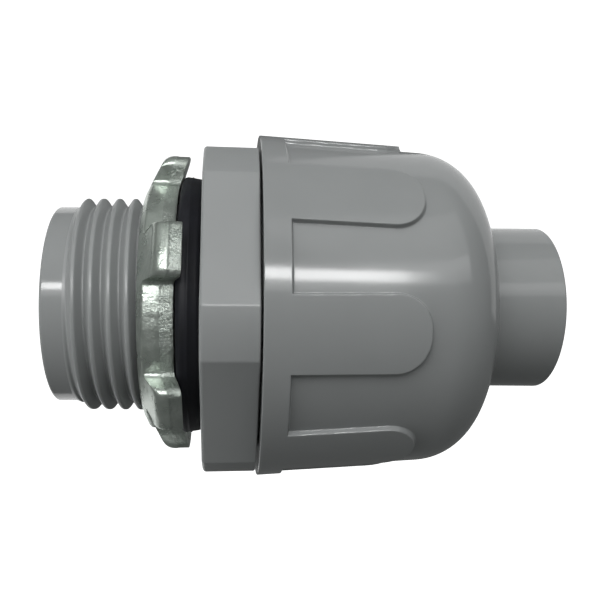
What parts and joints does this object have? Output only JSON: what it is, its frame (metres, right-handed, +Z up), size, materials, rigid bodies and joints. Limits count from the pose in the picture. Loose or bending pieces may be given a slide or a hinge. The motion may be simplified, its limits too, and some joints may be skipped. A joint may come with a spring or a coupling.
{
  "type": "liquid-tight conduit connector",
  "caption": "Straight plastic connector that clamps flexible conduit in a domed compression nut and fixes it in a wall hole with a thread, a sealing ring and a lugged steel locknut.",
  "frame": {"origin": "on the connector's axis, in the plane of the flange's wall-side face", "axes": "+X along the axis, from the enclosure towards the conduit; +Z up"},
  "size_m": [0.045, 0.0318, 0.0316],
  "materials": {
    "grey_plastic": "semi-gloss moulded plastic",
    "black_rubber": "smooth soft rubber",
    "zinc_steel": "bright zinc plate on a stamping",
    "white_nylon": "natural nylon"
  },
  "bodies": {
    "hub": {"hub_body": "grey_plastic"},
    "seal": {"face_seal": "black_rubber"},
    "locknut": {"locknut": "zinc_steel"},
    "grip": {"grip_ring": "white_nylon"},
    "nut": {"dome_nut": "grey_plastic"}
  },
  "joints": [
    {"name": "seal_turn", "type": "hinge", "parent": "hub", "child": "seal", "pos_m": [0, 0, 0], "axis": [-1, 0, 0], "range_deg": [0, 1980]},
    {"name": "locknut_travel", "type": "slide", "parent": "seal", "child": "locknut", "axis": [-1, 0, 0], "range_m": [0, 0.00825]},
    {"name": "grip_travel", "type": "slide", "parent": "hub", "child": "grip", "axis": [1, 0, 0], "range_m": [0, 0.009]},
    {"name": "nut_turn", "type": "hinge", "parent": "grip", "child": "nut", "pos_m": [0, 0, 0], "axis": [1, 0, 0], "range_deg": [0, 1080]}
  ],
  "couplings": [
    {"joint": "locknut_travel", "follows": "seal_turn", "m_per_rad": 0.00023873},
    {"joint": "grip_travel", "follows": "nut_turn", "m_per_rad": 0.00047746}
  ]
}
